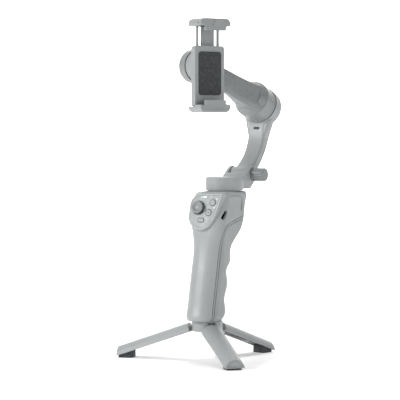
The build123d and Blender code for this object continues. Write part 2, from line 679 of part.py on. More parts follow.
def make_jaw(sign):
    """A jaw's bar with its lip over the phone's edge, left unsaved; sign is -1 below and 1 above."""
    seat, outer = PHONE_W / 2 + PAD_T, PHONE_W / 2 + JAW_T
    front = PHONE_T / 2 + 0.5
    with BuildPart() as bar:
        with BuildSketch(CLAMP_PLANE.offset(JAW_BACK)) as profile:
            with Locations((0, sign * (seat + outer) / 2)):
                Rectangle(2 * CLAMP_HALF, outer - seat)
            away = Axis.Y if sign > 0 else -Axis.Y
            fillet(profile.vertices().sort_by(away)[-2:], 5.4)
            fillet(profile.vertices().sort_by(away)[:2], 1.0)
        extrude(profile.sketch, amount=front + LIP - JAW_BACK)
        faces = bar.faces().sort_by(Axis(PAYLOAD, ROLL_AXIS))
        fillet(faces[0].edges() + faces[-1].edges(), 1.4)
        block(CLAMP_PLANE, front, front + LIP, 2 * LIP_HALF, 7.0, 1.2, centre=(0, sign * (seat - 1.2)))
    return bar


def make_clamp():
    edge = PHONE_W / 2
    seat = edge + PAD_T
    front = PHONE_T / 2 + 0.5
    back = -PHONE_T / 2 - 0.6
    body_top = 20.0
    toward_phone = Axis(PAYLOAD, ROLL_AXIS)
    with BuildPart() as frame:
        middle = (body_top - seat - 2.0) / 2
        block(CLAMP_PLANE, BODY_BACK, back, 35.0, body_top + seat + 2.0, 3.0, centre=(0, middle))
        fillet(frame.faces().sort_by(toward_phone)[0].edges(), 1.2)
        ring(ROLL_PLANE, GAP, ROLL_DEPTH, 0, ROLL_R)
        ring(ROLL_PLANE, GAP - 1, ROLL_DEPTH - CUP_WALL, 0, ROLL_R - CUP_WALL, mode=Mode.SUBTRACT)
        slot = (0, body_top - 22.0)
        block(CLAMP_PLANE, BODY_BACK + 2.0, BODY_BACK + 5.6, 15.0, 46.0, centre=slot, mode=Mode.SUBTRACT)
        for side in (-1, 1):
            rod = clamp_rod_plane(side)
            ring(rod, -30.0, body_top + 1, 0, ROD_R + RUN, mode=Mode.SUBTRACT)
            ring(rod, -26.0, body_top - 4, 0, SPRING_R + 0.3, mode=Mode.SUBTRACT)
    save(frame, "clamp_frame")

    with BuildPart() as lower:
        add(make_jaw(-1).part)
        block(CLAMP_PLANE, JAW_BACK - 1, back, 60, 2.02, centre=(0, -seat - 0.99), mode=Mode.SUBTRACT)
        groove = (-1.5, -seat - 4.4)
        block(CLAMP_PLANE, front + LIP - 0.6, front + LIP + 1, 2 * CLAMP_HALF - 7, 0.6, centre=groove, mode=Mode.SUBTRACT)
    save(lower, "lower_jaw")

    with BuildPart() as upper:
        add(make_jaw(1).part)
        with BuildSketch(CLAMP_PLANE.offset(front + LIP)) as arch:
            with Locations((5.0, seat - 1.0)):
                Circle(8.2)
            with Locations((5.0, seat + 4.2)):
                Rectangle(20, 10, mode=Mode.INTERSECT)
        extrude(arch.sketch, amount=0.5)
        slide = (0, (seat - 6.0) / 2 + 2.0)
        block(CLAMP_PLANE, BODY_BACK + 2.3, BODY_BACK + 5.3, 14.4, seat + 6.0, centre=slide)
        for side in (-1, 1):
            ring(clamp_rod_plane(side), -8.0, seat + 2.0, 0, ROD_R)
        end_hole = Plane(CLAMP_PLANE.from_local_coords((-CLAMP_HALF, seat + 3.2, 3.0)), z_dir=-PHONE_LONG)
        ring(end_hole, -1.6, 2, 0, 0.9, mode=Mode.SUBTRACT)
    save(upper, "upper_jaw")

    for name, sign in (("lower_pad", -1), ("upper_pad", 1)):
        with BuildPart() as pad:
            centre = (0, sign * (edge + PAD_T / 2))
            block(CLAMP_PLANE, -PHONE_T / 2 - 0.2, front - 0.1, 2 * CLAMP_HALF - 7, PAD_T, centre=centre)
        save(pad, name)

    with BuildPart() as plate:
        block(CLAMP_PLANE, back, back + 0.55, 27.0, 44.0, 3.0, centre=(0, -8.0))
    save(plate, "back_pad")

    with BuildPart() as springs:
        for side in (-1, 1):
            ring(clamp_rod_plane(side), -25.6, body_top - 4.4, SPRING_R - 0.5, SPRING_R)
    save(springs, "clamp_springs")


def clamp_rod_plane(side):
    """Plane at a guide rod of the sliding jaw, whose Z runs up the rod."""
    start = CLAMP_PLANE.from_local_coords((side * ROD_X, 0, ROD_BACK))
    return Plane(start, x_dir=PHONE_LONG, z_dir=(0, 0, 1))


def main():
    make_hub()
    for index, angle in enumerate(LEG_ANGLES):
        make_leg(index + 1, angle)
    make_handle()
    make_controls()
    make_handle_core()
    make_motor("pan", PAN_GAP_PLANE, PAN_R, PAN_DEPTH)
    make_pan_housing()
    make_arm()
    make_motor("tilt", TILT_PLANE, TILT_R, TILT_DEPTH)
    make_elbow()
    make_motor("roll", ROLL_PLANE, ROLL_R, ROLL_DEPTH)
    make_clamp()


main()
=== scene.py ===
import json
from math import atan2, cos, pi, radians, sin

import bmesh
import bpy
from mathutils import Matrix, Vector


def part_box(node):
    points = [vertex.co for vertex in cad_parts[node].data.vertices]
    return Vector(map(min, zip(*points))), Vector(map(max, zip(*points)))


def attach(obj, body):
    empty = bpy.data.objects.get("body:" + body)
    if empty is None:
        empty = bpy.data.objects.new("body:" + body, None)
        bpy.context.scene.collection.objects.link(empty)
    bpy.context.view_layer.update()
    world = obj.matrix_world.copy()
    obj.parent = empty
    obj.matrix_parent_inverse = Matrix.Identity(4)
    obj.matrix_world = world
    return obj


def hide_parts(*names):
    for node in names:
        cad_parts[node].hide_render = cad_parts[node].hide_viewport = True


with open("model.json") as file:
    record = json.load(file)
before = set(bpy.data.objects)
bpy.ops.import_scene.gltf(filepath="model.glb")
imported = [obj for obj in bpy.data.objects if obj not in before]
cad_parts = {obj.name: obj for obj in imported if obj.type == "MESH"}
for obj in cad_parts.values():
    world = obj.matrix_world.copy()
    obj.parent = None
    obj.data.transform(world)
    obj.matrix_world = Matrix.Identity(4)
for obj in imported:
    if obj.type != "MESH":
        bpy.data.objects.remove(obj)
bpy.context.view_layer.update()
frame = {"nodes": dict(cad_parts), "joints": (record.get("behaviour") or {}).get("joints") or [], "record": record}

# Looks of a phone gimbal on its mini tripod. The scene is in metres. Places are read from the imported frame's nodes and
# joints, and the offsets and sizes given to the piece functions are in millimetres.
MM = 0.001

# ------------------------------------------------------------------ places read from the frame

joints = {joint["name"]: joint for joint in frame["joints"]}


def joint_axis(name):
    return Vector(joints[name]["axis"]).normalized()


def joint_point(name):
    return Vector(joints[name]["pos_m"])


def middle(node):
    low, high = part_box(node)
    return (low + high) / 2


def basis(origin, normal, across):
    """Frame whose Z is normal and whose X is as near across as it can be."""
    z = Vector(normal).normalized()
    x = Vector(across)
    x = (x - z * x.dot(z)).normalized()
    y = z.cross(x)
    turn = Matrix((x, y, z)).transposed().to_4x4()
    return Matrix.Translation(origin) @ turn


def at(place, across, up, out=0.0):
    """place moved across, up and out along its own axes, in millimetres."""
    return place @ Matrix.Translation(Vector((across, up, out)) * MM)


def spot(place, x, y, z):
    """Point at x, y, z along place's own axes, in millimetres."""
    return place @ Vector((x * MM, y * MM, z * MM))


PANEL_NORMAL = -joint_axis("record_press")
JOYSTICK_RISE = 6.2 * MM            # panel face above the joystick's pivot
BUTTON_SINK = 1.95 * MM             # panel face above the middle of a button
PANEL = basis(joint_point("joystick_up_down") + PANEL_NORMAL * JOYSTICK_RISE, PANEL_NORMAL, (1, 0, 0))
PHONE_OUT = joint_axis("roll")      # from the back of the phone to its screen
PHONE_ALONG = Vector((-PHONE_OUT.y, PHONE_OUT.x, 0))
TILT_AXIS = joint_axis("tilt")
LEGS = (1, 2, 3)
pins = [joint_point(f"leg_{number}_fold") for number in LEGS]
TRIPOD = Vector((sum(pin.x for pin in pins) / 3, sum(pin.y for pin in pins) / 3, 0))
QUARTER_TURN = Matrix.Rotation(radians(90), 4, "Z")

# ------------------------------------------------------------------ materials

NOISE_LOW, NOISE_HIGH = 0.3, 0.7    # nearly all of a noise texture's values lie between these
EDGE_START, EDGE_FULL = 0.52, 0.62  # pointiness where rubbing starts and where it is complete
MOTTLE = 0.04                       # how far moulded plastic's colour drifts either way
METAL_MARKS = 1800                  # noise scale of the tool marks
BLACK, WHITE = (0, 0, 0, 1), (1, 1, 1, 1)


def new_material(name, **settings):
    """A material with a Principled shader; settings are constants on the shader's own sockets."""
    material = bpy.data.materials.new(name)
    material.use_nodes = True
    shader = material.node_tree.nodes["Principled BSDF"]
    for socket, value in settings.items():
        shader.inputs[socket.replace("_", " ")].default_value = value
    return material, material.node_tree, shader


def noise(tree, scale, detail=2.0, stretch=(1, 1, 1)):
    """Noise in the object's own space, metres times scale."""
    where = tree.nodes.new("ShaderNodeTexCoord")
    mapping = tree.nodes.new("ShaderNodeMapping")
    mapping.inputs["Scale"].default_value = stretch
    texture = tree.nodes.new("ShaderNodeTexNoise")
    texture.inputs["Scale"].default_value = scale
    texture.inputs["Detail"].default_value = detail
    tree.links.new(where.outputs["Object"], mapping.inputs["Vector"])
    tree.links.new(mapping.outputs["Vector"], texture.inputs["Vector"])
    return texture.outputs["Fac"]


def ramp(tree, value, stops):
    """Colour ramp over a value; stops are (place, colour)."""
    node = tree.nodes.new("ShaderNodeValToRGB")
    node.color_ramp.elements[0].position, node.color_ramp.elements[0].color = stops[0]
    node.color_ramp.elements[1].position, node.color_ramp.elements[1].color = stops[-1]
    for place, colour in stops[1:-1]:
        node.color_ramp.elements.new(place).color = colour
    tree.links.new(value, node.inputs["Fac"])
    return node.outputs["Color"]


def shade(colour, factor):
    return (colour[0] * factor, colour[1] * factor, colour[2] * factor, 1.0)


def span(tree, value, low, high):
    """A noise or wave value spread over low to high."""
    node = tree.nodes.new("ShaderNodeMapRange")
    node.inputs["From Min"].default_value = NOISE_LOW
    node.inputs["From Max"].default_value = NOISE_HIGH
    node.inputs["To Min"].default_value = low
    node.inputs["To Max"].default_value = high
    tree.links.new(value, node.inputs["Value"])
    return node.outputs["Result"]


def mix(tree, factor, first, second, blend="MIX"):
    """Two colours mixed; each argument is a number, a colour or another node's output."""
    node = tree.nodes.new("ShaderNodeMix")
    node.data_type = "RGBA"
    node.blend_type = blend
    for socket, value in (("Factor", factor), ("A", first), ("B", second)):
        target = [s for s in node.inputs if s.name == socket and s.enabled][0]
        if hasattr(value, "links"):
            tree.links.new(value, target)
        else:
            target.default_value = value
    return [s for s in node.outputs if s.enabled][0]


def grain(tree, shader, scales, strengths, depth):
    """Bumps stacked on the shader's normal, one for each noise scale."""
    previous = None
    for scale, strength in zip(scales, strengths):
        bump = tree.nodes.new("ShaderNodeBump")
        bump.inputs["Strength"].default_value = strength
        bump.inputs["Distance"].default_value = depth * MM
        tree.links.new(noise(tree, scale, 3.0), bump.inputs["Height"])
        if previous:
            tree.links.new(previous, bump.inputs["Normal"])
        previous = bump.outputs["Normal"]
    tree.links.new(previous, shader.inputs["Normal"])


def worn_edges(tree, colour, edge_colour, amount):
    """Lighter, rubbed colour where the surface turns sharply outwards."""
    geometry = tree.nodes.new("ShaderNodeNewGeometry")
    sharp = ramp(tree, geometry.outputs["Pointiness"], [(EDGE_START, BLACK), (EDGE_FULL, WHITE)])
    patches = [(0.35, BLACK), (0.65, (amount, amount, amount, 1))]
    patchy = ramp(tree, noise(tree, 160, 4.0), patches)
    where = mix(tree, 1.0, sharp, patchy, "MULTIPLY")
    return mix(tree, where, colour, edge_colour)


def plastic(name, colour, roughness, fine=2600, depth=0.06):
    """Moulded plastic: spark-eroded grain, faint flow mottling, rubbed edges."""
    material, tree, shader = new_material(name, Specular_IOR_Level=0.42, Coat_Weight=0.04, Coat_Roughness=0.35)
    flow = [(NOISE_LOW, shade(colour, 1 - MOTTLE)), (NOISE_HIGH, shade(colour, 1 + MOTTLE))]
    pits = [(0.36, (0.93, 0.93, 0.93, 1)), (0.5, WHITE)]
    broad = ramp(tree, noise(tree, 34, 3.0), flow)
    specks = ramp(tree, noise(tree, fine), pits)
    rubbed = worn_edges(tree, mix(tree, 1.0, broad, specks, "MULTIPLY"), shade(colour, 1.16), 0.5)
    gloss = span(tree, noise(tree, 220, 4.0), roughness - 0.05, roughness + 0.07)
    tree.links.new(rubbed, shader.inputs["Base Color"])
    tree.links.new(gloss, shader.inputs["Roughness"])
    grain(tree, shader, (fine, fine * 0.31), (0.5, 0.35), depth)
    return material


def rubber(name, colour):
    """Soft rubber: matt, dusty in the hollows, slightly scuffed."""
    material, tree, shader = new_material(name, Specular_IOR_Level=0.3, Sheen_Weight=0.12, Sheen_Roughness=0.5)
    dust = ramp(tree, noise(tree, 420, 5.0), [(0.4, shade(colour, 0.85)), (0.7, shade(colour, 1.35))])
    tree.links.new(dust, shader.inputs["Base Color"])
    tree.links.new(span(tree, noise(tree, 300, 3.0), 0.66, 0.86), shader.inputs["Roughness"])
    grain(tree, shader, (1500, 500), (0.6, 0.3), 0.08)
    return material


def metal(name, colour, roughness, stretch=(1, 1, 1)):
    """Turned or drawn metal: fine marks along one direction, slight colour change."""
    material, tree, shader = new_material(name, Metallic=1.0)
    marks = noise(tree, METAL_MARKS, 3.0, stretch)
    tint = ramp(tree, marks, [(NOISE_LOW, shade(colour, 0.86)), (NOISE_HIGH, shade(colour, 1.06))])
    tree.links.new(tint, shader.inputs["Base Color"])
    tree.links.new(span(tree, marks, roughness - 0.08, roughness + 0.12), shader.inputs["Roughness"])
    grain(tree, shader, (METAL_MARKS * 0.6,), (0.25,), 0.03)
    return material


def winding(name, colour):
    """Enamelled copper wire: close bands of turns."""
    material, tree, shader = new_material(name, Metallic=0.8, Coat_Weight=0.5)
    where = tree.nodes.new("ShaderNodeTexCoord")
    wave = tree.nodes.new("ShaderNodeTexWave")
    wave.inputs["Scale"].default_value = 900
    wave.inputs["Distortion"].default_value = 1.5
    tree.links.new(where.outputs["Object"], wave.inputs["Vector"])
    turns = ramp(tree, wave.outputs["Fac"], [(0.2, shade(colour, 0.4)), (0.7, shade(colour, 1.1))])
    tree.links.new(turns, shader.inputs["Base Color"])
    tree.links.new(span(tree, wave.outputs["Fac"], 0.5, 0.3), shader.inputs["Roughness"])
    return material


def board(name, colour):
    """Circuit board: solder mask over faint tracks."""
    material, tree, shader = new_material(name, Coat_Weight=0.4, Coat_Roughness=0.15)
    where = tree.nodes.new("ShaderNodeTexCoord")
    tracks = tree.nodes.new("ShaderNodeTexVoronoi")
    tracks.distance = "CHEBYCHEV"
    tracks.inputs["Scale"].default_value = 420
    tree.links.new(where.outputs["Object"], tracks.inputs["Vector"])
    stops = [(0.05, shade(colour, 2.4)), (0.12, shade(colour, 1.0)), (0.9, shade(colour, 0.7))]
    tree.links.new(ramp(tree, tracks.outputs["Distance"], stops), shader.inputs["Base Color"])
    tree.links.new(span(tree, noise(tree, 300), 0.3, 0.45), shader.inputs["Roughness"])
    return material


def glow(name, colour, strength):
    """Frosted light pipe with a brighter heart."""
    material, tree, shader = new_material(name, Roughness=0.35, Emission_Strength=strength)
    lit = ramp(tree, noise(tree, 900), [(NOISE_LOW, shade(colour, 0.75)), (NOISE_HIGH, shade(colour, 1.0))])
    tree.links.new(lit, shader.inputs["Base Color"])
    tree.links.new(lit, shader.inputs["Emission Color"])
    return material


SHELL = (0.352, 0.370, 0.370)
LENGTHWAYS = (1, 1, 12)             # draws a metal's marks out along one axis
materials = {
    "shell_plastic": plastic("shell_plastic", SHELL, 0.40),
    "grip_plastic": plastic("grip_plastic", shade(SHELL, 0.97), 0.46, fine=1500, depth=0.10),
    # The panel's colour is the shell's, darkened to 0.88 as painted shade: its face turns to the key lamp, and the
    # darkening keeps it as dark as the rest of the shell.
    "panel_plastic": plastic("panel_plastic", shade(SHELL, 0.88), 0.42),
    "control_plastic": plastic("control_plastic", shade(SHELL, 0.82), 0.42),
    "trim_plastic": plastic("trim_plastic", shade(SHELL, 0.94), 0.34),
    "knob_plastic": plastic("knob_plastic", (0.235, 0.25, 0.25), 0.38),
    "clamp_plastic": plastic("clamp_plastic", shade(SHELL, 0.92), 0.40),
    "dark_plastic": plastic("dark_plastic", (0.045, 0.048, 0.052), 0.5),
    "soft_rubber": rubber("soft_rubber", (0.055, 0.058, 0.062)),
    "steel": metal("steel", (0.60, 0.60, 0.61), 0.28, LENGTHWAYS),
    "brass_insert": metal("brass_insert", (0.72, 0.52, 0.24), 0.30, LENGTHWAYS),
    "socket_metal": metal("socket_metal", (0.075, 0.077, 0.082), 0.30),
    "copper_winding": winding("copper_winding", (0.66, 0.30, 0.13)),
    "magnet_ring": metal("magnet_ring", (0.45, 0.45, 0.46), 0.24, (1, 1, 4)),
    "circuit_board": board("circuit_board", (0.02, 0.12, 0.06)),
    "battery_sleeve": plastic("battery_sleeve", (0.03, 0.07, 0.20), 0.25, fine=900),
    "light_lens": plastic("light_lens", (0.40, 0.46, 0.47), 0.22, fine=1200, depth=0.02),
}
PRINT = plastic("print_white", (0.80, 0.82, 0.82), 0.5)
SEAM = plastic("seam_shadow", (0.08, 0.085, 0.09), 0.55)
LIT_BLUE = glow("light_on", (0.55, 0.90, 1.0), 1.6)
LIT_TEAL = glow("light_dim", (0.16, 0.50, 0.48), 0.35)
# Shell colour darkened to 0.70, with the roughness lowered to 0.30: painted shadow of the phone, which is not built,
# falling on the tilt motor.
SHELL_IN_PHONE_SHADOW = plastic("shell_painted_phone_shadow", shade(SHELL, 0.70), 0.30)

node_slot = {part["node"]: part["material_slot"] for part in frame["record"]["subparts"]}
# The elbow arm gets the shell copy with the painted phone shadow; every other node gets its slot's material.
for node, thing in frame["nodes"].items():
    thing.data.materials.clear()
    thing.data.materials.append(SHELL_IN_PHONE_SHADOW if node == "elbow_arm" else materials[node_slot[node]])

# ------------------------------------------------------------------ small pieces

SHARP_EDGE = radians(38)            # a smooth-shaded piece stays crisp above this angle
CREASE = radians(50)                # a CAD edge sharper than this can carry a seam line
BEAD_SIDES, BEAD_STEPS = 12, 64     # round a bead's section and along its ring
END_STEPS = 10                      # round the end of a slot or bar
BAR_ROWS = ((1.0, -0.2), (1.0, 0.7), (0.88, 1.0))       # (share of the width, share of the height)


def made_of(slot, body):
    """Material, body and slot of a piece that is made of the slot's own material."""
    return materials[slot], body, slot


def skin(mesh, loops):
    """Faces between each closed loop of vertices and the next."""
    for first, second in zip(loops, loops[1:]):
        for k in range(len(first)):
            j = (k + 1) % len(first)
            mesh.faces.new((first[k], first[j], second[j], second[k]))


def skin_and_cap(mesh, loops):
    skin(mesh, loops)
    mesh.faces.new(loops[0])
    mesh.faces.new(loops[-1])


def finish_piece(name, mesh, material, body, slot):
    """Put a bmesh into the scene as a smooth-shaded piece that rides on a body."""
    bmesh.ops.recalc_face_normals(mesh, faces=mesh.faces)
    data = bpy.data.meshes.new(name)
    mesh.to_mesh(data)
    mesh.free()
    thing = bpy.data.objects.new(name, data)
    bpy.context.scene.collection.objects.link(thing)
    data.materials.append(material)
    for polygon in data.polygons:
        polygon.use_smooth = True
    data.set_sharp_from_angle(angle=SHARP_EDGE)
    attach(thing, body)
    return thing


def corner(radius, angle, sides):
    """Radius at an angle of a circle (no sides) or of a regular polygon."""
    if not sides:
        return radius
    step = 2 * pi / sides
    return radius / cos((angle % step) - step / 2) * cos(step / 2)


def ring(mesh, place, radius, height, steps, sides=0):
    """Loop of vertices about place's Z."""
    loop = []
    for k in range(steps):
        angle = 2 * pi * k / steps
        r = corner(radius, angle, sides)
        loop.append(mesh.verts.new(spot(place, r * cos(angle), r * sin(angle), height)))
    return loop


def lathe(name, place, rows, material, body, slot, steps=48):
    """Turned piece about place's Z. Rows are (radius, height) or (radius, height, sides)."""
    mesh = bmesh.new()
    loops = [ring(mesh, place, radius, height, steps, *sides) for radius, height, *sides in rows]
    skin(mesh, loops)
    for row, loop in ((rows[0], loops[0]), (rows[-1], loops[-1])):
        if row[0] > 0:
            mesh.faces.new(loop)
    bmesh.ops.remove_doubles(mesh, verts=mesh.verts, dist=1e-7)
    finish_piece(name, mesh, material, body, slot)


def bead(name, place, radius, wire, material, body, slot, sink=0.0):
    """Raised ring of round section, its middle sunk below place's XY plane."""
    mesh = bmesh.new()
    loops = []
    for k in range(BEAD_SIDES):
        angle = 2 * pi * k / BEAD_SIDES
        loops.append(ring(mesh, place, radius + wire * cos(angle), wire * sin(angle) - sink, BEAD_STEPS))
    skin(mesh, loops + loops[:1])
    finish_piece(name, mesh, material, body, slot)


def stadium(length, width):
    """Outline of a slot with round ends, its length along X."""
    half, r = (length - width) / 2, width / 2
    end = [(half + r * cos(t), r * sin(t)) for t in (pi * (k / END_STEPS - 0.5) for k in range(END_STEPS + 1))]
    return end + [(-x, -y) for x, y in end]


def bar(name, place, length, width, height, material, body, slot):
    """Low bar with rounded ends along place's X, its foot a little under the XY plane."""
    mesh = bmesh.new()
    loops = []
    for scale, level in BAR_ROWS:
        outline = stadium(length - width + width * scale, width * scale)
        loops.append([mesh.verts.new(spot(place, x, y, height * level)) for x, y in outline])
    skin_and_cap(mesh, loops)
    finish_piece(name, mesh, material, body, slot)


def new_curve(name, radius, resolution):
    curve = bpy.data.curves.new(name, "CURVE")
    curve.dimensions = "3D"
    curve.bevel_depth = radius * MM
    curve.bevel_resolution = resolution
    return curve


def finish_curve(name, curve, material, body):
    """Put a curve into the scene as a piece that rides on a body."""
    curve.materials.append(material)
    thing = bpy.data.objects.new(name, curve)
    bpy.context.scene.collection.objects.link(thing)
    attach(thing, body)


def line(name, points, radius, material, body, slot, closed=False):
    """Smooth round line through points, for fine mouldings and printed strokes."""
    curve = new_curve(name, radius, 3)
    spline = curve.splines.new("BEZIER")
    spline.bezier_points.add(len(points) - 1)
    for point, where in zip(spline.bezier_points, points):
        point.co = where
        point.handle_left_type = point.handle_right_type = "AUTO"
    spline.use_cyclic_u = closed
    finish_curve(name, curve, material, body)


def seam(name, node, keep, radius, body):
    """Dark line along a node's sharp edges beside the faces that keep(normal, centre) picks."""
    source = frame["nodes"][node]
    mesh = bmesh.new()
    mesh.from_mesh(source.data)
    mesh.transform(source.matrix_world)
    bmesh.ops.remove_doubles(mesh, verts=mesh.verts, dist=1e-6)
    mesh.normal_update()
    curve = new_curve(name, radius, 2)
    for edge in mesh.edges:
        if len(edge.link_faces) != 2 or edge.calc_face_angle() < CREASE:
            continue
        if any(keep(face.normal, face.calc_center_median()) for face in edge.link_faces):
            spline = curve.splines.new("POLY")
            spline.points.add(1)
            for point, vert in zip(spline.points, edge.verts):
                point.co = (*vert.co, 1)
    mesh.free()
    finish_curve(name, curve, SEAM, body)


def screw(name, place, radius, body):
    """Countersunk socket screw, its head just under the surface around it."""
    rows = [
        (radius * 1.12, 0.02),
        (radius * 1.10, 0.10),
        (radius, 0.02),
        (radius * 0.92, 0.16),
        (radius * 0.52, 0.18, 6),
        (radius * 0.50, -0.5, 6),
        (0.0, -0.55),
    ]
    lathe(name, place, rows, *made_of("steel", body))


# ------------------------------------------------------------------ control panel

BUTTON_FACE = 0.70                  # where a button's mark lies above the panel's face
RING_RADIUS, RING_WIRE = 3.75, 0.34
OVAL_HALF, OVAL_RADIUS, OVAL_WIRE, OVAL_POINTS = 1.8, 2.5, 0.32, 24
STICK_FACE = 3.3                    # foot of the joystick's dish above the panel's face
NIBS, NIB_RADIUS, NIB_LEVEL = 24, 5.05, 1.52
BEZEL = [(7.8, -0.9), (7.75, 0.05), (7.45, 0.30), (7.1, 0.18), (7.0, -0.9)]
LENS = [(0.75, -0.05), (0.72, 0.10), (0.45, 0.22), (0, 0.26)]
LENS_UP = 11.5                      # status lights above the joystick's middle


def button_face(name):
    """Frame at a button's middle, level with the panel's face."""
    return basis(middle(f"button_{name}") + PANEL_NORMAL * BUTTON_SINK, PANEL_NORMAL, (1, 0, 0))


def build_controls():
    """Rings and marks of the buttons, the joystick's bezel and ribs, the status lights and the printed marks."""
    panel_part = made_of("panel_plastic", "handle")
    for name in ("record", "mode"):
        bead(f"button_{name}_ring", button_face(name), RING_RADIUS, RING_WIRE, *panel_part, sink=0.10)
    power = button_face("power")
    oval = []
    for k in range(OVAL_POINTS):
        t = 2 * pi * (k + 0.5) / OVAL_POINTS
        end = OVAL_HALF if cos(t) > 0 else -OVAL_HALF
        oval.append(spot(power, end + OVAL_RADIUS * cos(t), OVAL_RADIUS * sin(t), -0.08))
    line("button_power_ring", oval, OVAL_WIRE, *panel_part, closed=True)

    record_mark = at(button_face("record"), 0, 0, BUTTON_FACE)
    bead("button_record_mark", record_mark, 1.5, 0.12, SEAM, "record_button", "panel_plastic", sink=0.04)
    dot = [(0.9, -0.1), (0.9, 0.04), (0.7, 0.08), (0, 0.08)]
    mode_mark = at(button_face("mode"), 0, 0, BUTTON_FACE)
    lathe("button_mode_mark", mode_mark, dot, SEAM, "mode_button", "panel_plastic", steps=32)
    bar("button_power_mark", at(power, 0, 0, BUTTON_FACE), 2.6, 0.5, 0.06, SEAM, "power_button", "panel_plastic")

    lathe("joystick_bezel", PANEL, BEZEL, *panel_part, steps=72)
    stick = at(PANEL, 0, 0, STICK_FACE)
    bead("joystick_dish_line", at(stick, 0, 0, 0.02), 2.2, 0.12, SEAM, "joystick", "control_plastic", sink=0.05)
    for k in range(NIBS):
        turn = Matrix.Rotation(2 * pi * k / NIBS, 4, "Z")
        nib = at(stick @ turn, NIB_RADIUS, 0, NIB_LEVEL)
        bar(f"joystick_nib_{k + 1}", nib, 1.1, 0.42, 0.16, *made_of("control_plastic", "joystick"))
    for name, across, light in (("on", 6.2, LIT_BLUE), ("dim", 2.4, LIT_TEAL)):
        lathe(f"status_light_{name}", at(PANEL, across, LENS_UP), LENS, light, "handle", "light_lens", steps=32)
    build_icons()


def build_icons():
    """Generic printed marks beside the buttons: ring and dot, two bars, arc and stroke, dash."""
    print_part = (PRINT, "handle", "panel_plastic")
    ring_place = at(PANEL, 19.6, 9.3)
    bead("icon_ring", ring_place, 0.95, 0.13, *print_part, sink=0.05)
    lathe("icon_dot", ring_place, [(0.4, 0), (0.38, 0.06), (0, 0.08)], *print_part, steps=24)
    for side, name in ((-1, "left"), (1, "right")):
        bar(f"icon_bar_{name}", at(PANEL, 17.6 + side * 0.45, 0.5) @ QUARTER_TURN, 1.8, 0.4, 0.07, *print_part)
    power = at(PANEL, 10.2, -11.3)
    arc = []
    for k in range(11):
        t = radians(125 + 290 * k / 10)
        arc.append(spot(power, 0.9 * cos(t), 0.9 * sin(t), 0.03))
    line("icon_arc", arc, 0.12, *print_part)
    bar("icon_stroke", at(power, 0, 0.6) @ QUARTER_TURN, 1.2, 0.28, 0.07, *print_part)
    bar("icon_dash", at(PANEL, 12.6, 11.9), 2.0, 0.4, 0.07, *print_part)


# ------------------------------------------------------------------ handle

HEAD_HALF = 20.04                   # middle of the head to the frame lines on its sides
LINE_GAP = 1.3                      # between the two frame lines
SOCKET_LEAN = radians(33)
SOCKET_ROWS = [                     # (length, width, depth) from the floor out over the rim and down the bore
    (10.3, 3.5, 0.1),
    (10.3, 3.5, 4.2),
    (10.1, 3.3, 4.4),
    (9.7, 2.9, 4.4),
    (9.4, 2.6, 4.1),
    (9.4, 2.6, 1.0),
]


def build_handle():
    """Seams beside the trim strip and the panel, and the moulded double line that frames each side of the head."""
    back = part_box("rear_grip_cover")[1].y
    middle_x = joint_point("pan").x

    def faces_outward(normal, centre):
        return normal.x * (centre.x - middle_x) > 0.3 * abs(centre.x - middle_x)

    def faces_front(normal, centre):
        return normal.dot(PANEL_NORMAL) > 0.99

    seam("trim_seam", "trim_strip", faces_outward, 0.2, "handle")
    seam("panel_seam", "control_panel", faces_front, 0.13, "handle")
    for sign, name in ((1, "right"), (-1, "left")):
        x = middle_x + sign * HEAD_HALF * MM
        for row, shift in ((1, 0.0), (2, LINE_GAP)):
            edge = [                # (inward from the back, height)
                (12.4 + shift, 149.5),
                (11.6 + shift, 156.0),
                (11.6 + shift, 161.5 - 0.4 * shift),
                (13.6 + 0.6 * shift, 164.8 - shift),
                (20.0, 165.6 - shift),
                (37.0, 165.6 - shift),
            ]
            points = [Vector((x, back - inward * MM, height * MM)) for inward, height in edge]
            line(f"head_frame_{name}_{row}", points, 0.20, SEAM, "handle", "shell_plastic")


def build_socket():
    """Charging socket with a rolled rim, sunk below the curved side of the head."""
    low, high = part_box("usb_socket")
    along = (0, sin(SOCKET_LEAN), cos(SOCKET_LEAN))
    place = basis((low.x, (low.y + high.y) / 2, (low.z + high.z) / 2), (1, 0, 0), along)
    mesh = bmesh.new()
    loops = []
    for length, width, depth in SOCKET_ROWS:
        loops.append([mesh.verts.new(spot(place, x, y, depth)) for x, y in stadium(length, width)])
    skin_and_cap(mesh, loops)
    shell = finish_piece("usb_shell", mesh, *made_of("socket_metal", "handle"))
    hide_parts("usb_socket")
    bar("usb_tongue", at(place, 0, 0, 1.0), 6.6, 0.7, 2.6, *made_of("dark_plastic", "handle"))


# ------------------------------------------------------------------ tripod

LEG_SLOPE = radians(19)
PLUG_REACH = 92.0 * MM              # back of a leg's end plug from the tripod's middle
PLUG_HEIGHT = 3.2 * MM
COVER_FACE = 3.4 * MM               # lower face of a leg's cover below the pin
SCREW_REACHES = (16, 54)
LEG_RIBS, RIB_START, RIB_PITCH = 5, 24, 4.5
ARCH_POINTS = 25


def half_moon(name, place, half_width, height, thickness, material, body, slot):
    """Arched plate with a softened rim, its back on place's XY plane and its straight side on X."""
    mesh = bmesh.new()
    loops = []
    for scale, level in ((1.0, 0.0), (1.0, thickness * 0.6), (0.95, thickness)):
        w, h = half_width * scale, height * scale
        radius = (w * w + h * h) / (2 * h)
        sweep = 2 * atan2(h, w)
        foot = h - radius + height * (1 - scale) / 2
        loop = []
        for k in range(ARCH_POINTS):
            t = sweep * (2 * k / (ARCH_POINTS - 1) - 1)
            loop.append(mesh.verts.new(spot(place, radius * sin(t), foot + radius * cos(t), level)))
        loops.append(loop)
    skin_and_cap(mesh, loops)
    finish_piece(name, mesh, material, body, slot)


